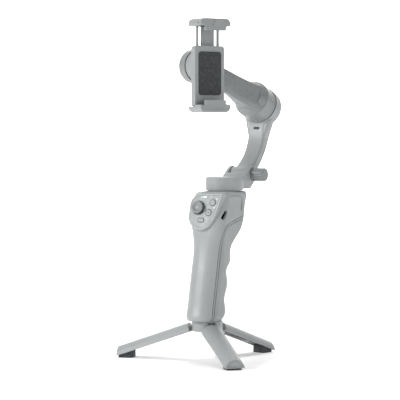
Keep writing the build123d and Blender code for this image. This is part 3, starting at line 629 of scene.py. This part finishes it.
def build_legs():
    """End plug, cover screws and cover ribs of each leg."""
    for number in LEGS:
        body = f"leg_{number}"
        across = joint_axis(f"leg_{number}_fold")
        pin = joint_point(f"leg_{number}_fold")
        out = Vector((across.y, -across.x, 0))
        along = out * cos(LEG_SLOPE) - Vector((0, 0, sin(LEG_SLOPE)))
        down = -out * sin(LEG_SLOPE) - Vector((0, 0, cos(LEG_SLOPE)))
        tip = basis(TRIPOD + out * PLUG_REACH + Vector((0, 0, PLUG_HEIGHT)), out, across)
        half_moon(f"leg_{number}_end_plug", tip, 7.3, 5.9, 0.5, materials["trim_plastic"], body, "shell_plastic")
        under = basis(pin + down * COVER_FACE, down, along)
        for index, reach in enumerate(SCREW_REACHES):
            screw(f"leg_{number}_screw_{index + 1}", at(under, reach, 0, 0.02), 1.5, body)
        for index in range(LEG_RIBS):
            rib = at(under, RIB_START + RIB_PITCH * index, 0, -0.02) @ QUARTER_TURN
            bar(f"leg_{number}_rib_{index + 1}", rib, 11, 0.9, 0.3, *made_of("dark_plastic", body))


# ------------------------------------------------------------------ motors, arm and clamp

PAN_TOP = 13.8 * MM                 # top of the pan motor above its joint
TILT_BACK = 14.8 * MM               # back of the tilt motor's cap behind its joint
ROLL_BACK = 38.3 * MM               # back of the roll motor's cap behind its joint
CAP_BUTTON = [(2.6, -0.1), (2.6, 0.12), (2.2, 0.2), (1.7, 0.05), (0, 0.0)]
BOLT_SOCKET = [(2.3, 0.0), (2.2, 0.12), (1.55, 0.12, 6), (1.5, -0.3, 6), (0, -0.32)]
KNOB_DISH = [(4.6, -0.2), (4.5, 0.0), (4.1, 0.06), (3.6, -0.05), (0, -0.05)]
NOTCH_FROM_HINGE = Vector((0, 31.1, 48.3)) * MM
NOTCH_LEAN = radians(13)
PAD_RIBS, PAD_PITCH = 13, 2.1
BACK_RIBS, BACK_PITCH = 9, 4.4
BACK_FACE = 0.27 * MM               # face of the back pad in front of its middle


def build_motor_details():
    """Lines and buttons on the motor caps, the hinge bolt's socket, the inlay in the arm's notch, the knob's disc."""
    tilt_back = basis(joint_point("tilt") - TILT_AXIS * TILT_BACK, -TILT_AXIS, (1, 0, 0))
    roll_back = basis(joint_point("roll") - PHONE_OUT * ROLL_BACK, -PHONE_OUT, PHONE_ALONG)
    for name, place, radius, body in (("tilt", tilt_back, 10.5, "arm"), ("roll", roll_back, 8.8, "tilt_rotor")):
        bead(f"{name}_cap_line", place, radius, 0.22, SEAM, body, "shell_plastic", sink=0.12)
        lathe(f"{name}_cap_button", place, CAP_BUTTON, materials["trim_plastic"], body, "shell_plastic")
    pan_top = basis(joint_point("pan") + Vector((0, 0, PAN_TOP)), (0, 0, 1), (1, 0, 0))
    bead("pan_top_line", pan_top, 15.2, 0.16, SEAM, "pan_rotor", "shell_plastic", sink=0.10)

    hinge = joint_point("fold")
    bolt_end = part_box("hinge_bolt")[0].x
    bolt_face = basis((bolt_end, hinge.y, hinge.z), (-1, 0, 0), (0, 1, 0))
    lathe("hinge_bolt_socket", bolt_face, BOLT_SOCKET, *made_of("steel", "pan_rotor"))
    notch = basis(hinge + NOTCH_FROM_HINGE, (0, -cos(NOTCH_LEAN), sin(NOTCH_LEAN)), (1, 0, 0))
    bar("arm_notch_inlay", at(notch, 0, 0, -1.66), 6.8, 2.4, 0.25, *made_of("dark_plastic", "arm"))
    knob_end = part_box("lock_knob")[1].x
    knob_face = basis((knob_end, hinge.y, hinge.z), (1, 0, 0), (0, 1, 0))
    lathe("lock_knob_disc", knob_face, KNOB_DISH, *made_of("knob_plastic", "fold_lock"))


def build_pads():
    """Grip ribs across the rubber pads of the clamp."""
    for node, body, facing in (("lower_pad", "clamp", 1), ("upper_pad", "sliding_jaw", -1)):
        low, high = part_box(node)
        face = high.z if facing > 0 else low.z
        centre = Vector(((low.x + high.x) / 2, (low.y + high.y) / 2, face))
        place = basis(centre, (0, 0, facing), PHONE_ALONG)
        for index in range(PAD_RIBS):
            rib = at(place, PAD_PITCH * (index - PAD_RIBS // 2), 0) @ QUARTER_TURN
            bar(f"{node}_rib_{index + 1}", rib, 7.4, 0.9, 0.28, *made_of("soft_rubber", body))
    place = basis(middle("back_pad") + PHONE_OUT * BACK_FACE, PHONE_OUT, PHONE_ALONG)
    for index in range(BACK_RIBS):
        rib = at(place, 0, BACK_PITCH * (index - BACK_RIBS // 2))
        bar(f"back_pad_rib_{index + 1}", rib, 21, 1.0, 0.2, *made_of("soft_rubber", "clamp"))


# ------------------------------------------------------------------ stage, light and camera

CAMERA_AZIMUTH, CAMERA_ELEVATION = radians(30.0), radians(2.19)
CAMERA_DISTANCE = 1.879
CAMERA_AIM = Vector((-6.38, -3.69, 161.2)) * MM         # from the tripod's middle
LAMP_AIM = Vector((0, 0.02, 0.17))                      # from the tripod's middle
FLOOR_REACH, BEND_START, BEND_RADIUS, WALL_TOP = 9.0, 3.0, 3.0, 8.0
BEND_STEPS = 24


def build_stage():
    """Pale paper sweep: flat under the object, rising in a wide curve far behind it."""
    mesh = bmesh.new()
    section = [(-FLOOR_REACH, 0.0), (BEND_START, 0.0)]
    for k in range(1, BEND_STEPS + 1):
        t = pi / 2 * k / BEND_STEPS
        section.append((BEND_START + BEND_RADIUS * sin(t), BEND_RADIUS - BEND_RADIUS * cos(t)))
    section.append((BEND_START + BEND_RADIUS, WALL_TOP))
    turn = Matrix.Rotation(CAMERA_AZIMUTH, 4, "Z")
    loops = []
    for side in (-FLOOR_REACH, FLOOR_REACH):
        loops.append([mesh.verts.new(turn @ Vector((side, y, z))) for y, z in section])
    for k in range(len(section) - 1):
        mesh.faces.new((loops[0][k], loops[1][k], loops[1][k + 1], loops[0][k + 1]))
    data = bpy.data.meshes.new("floor")
    mesh.to_mesh(data)
    mesh.free()
    for polygon in data.polygons:
        polygon.use_smooth = True
    floor = bpy.data.objects.new("floor", data)
    bpy.context.scene.collection.objects.link(floor)
    material, tree, shader = new_material(
        "floor_paper", Roughness=0.9, Specular_IOR_Level=0.1, Emission_Strength=0.22)
    stops = [(NOISE_LOW, (0.93, 0.93, 0.93, 1)), (NOISE_HIGH, (0.95, 0.95, 0.95, 1))]
    paper = ramp(tree, noise(tree, 6), stops)
    tree.links.new(paper, shader.inputs["Base Color"])
    tree.links.new(paper, shader.inputs["Emission Color"])
    data.materials.append(material)


def area_light(name, location, target, size, power):
    """Round lamp at a place, aimed at a target; both are measured from the tripod's middle."""
    light = bpy.data.lights.new(name, "AREA")
    light.shape = "DISK"
    light.size = size
    light.energy = power
    lamp = bpy.data.objects.new(name, light)
    bpy.context.scene.collection.objects.link(lamp)
    lamp.location = TRIPOD + Vector(location)
    aim = (TRIPOD + Vector(target)) - (TRIPOD + Vector(location))
    lamp.rotation_euler = aim.to_track_quat("-Z", "Y").to_euler()


def build_lights():
    """Even white surroundings, three soft lamps on the object and one on the paper behind it."""
    world = bpy.data.worlds.new("studio")
    bpy.context.scene.world = world
    world.use_nodes = True
    backdrop = world.node_tree.nodes["Background"]
    backdrop.inputs["Color"].default_value = WHITE
    backdrop.inputs["Strength"].default_value = 0.42
    bpy.context.scene.view_settings.view_transform = "Standard"
    for name, place, target, size, power in (
        ("key_left", (-0.85, -1.25, 0.75), LAMP_AIM, 0.40, 15),
        ("fill_right", (1.7, -0.5, 0.35), LAMP_AIM, 0.50, 3.5),
        ("top", (-0.2, 0.5, 1.5), LAMP_AIM, 0.60, 11),
        ("paper", (-1.5, 2.5, 2.5), (-1.5, 4.5, 0.5), 2.5, 200),
    ):
        area_light(name, place, target, size, power)


def build_camera():
    """Long lens from the right of the front, a little above the middle."""
    flat = cos(CAMERA_ELEVATION)
    toward_camera = Vector((sin(CAMERA_AZIMUTH) * flat, -cos(CAMERA_AZIMUTH) * flat, sin(CAMERA_ELEVATION)))
    camera = bpy.data.objects.new("camera", bpy.data.cameras.new("camera"))
    bpy.context.scene.collection.objects.link(camera)
    camera.location = TRIPOD + CAMERA_AIM + toward_camera * CAMERA_DISTANCE
    camera.rotation_euler = (-toward_camera).to_track_quat("-Z", "Y").to_euler()
    camera.data.lens = 167.6
    camera.data.sensor_width = 36.0
    camera.data.clip_end = 50
    bpy.context.scene.camera = camera


build_controls()
build_handle()
build_socket()
build_legs()
build_motor_details()
build_pads()
build_stage()
build_lights()
build_camera()
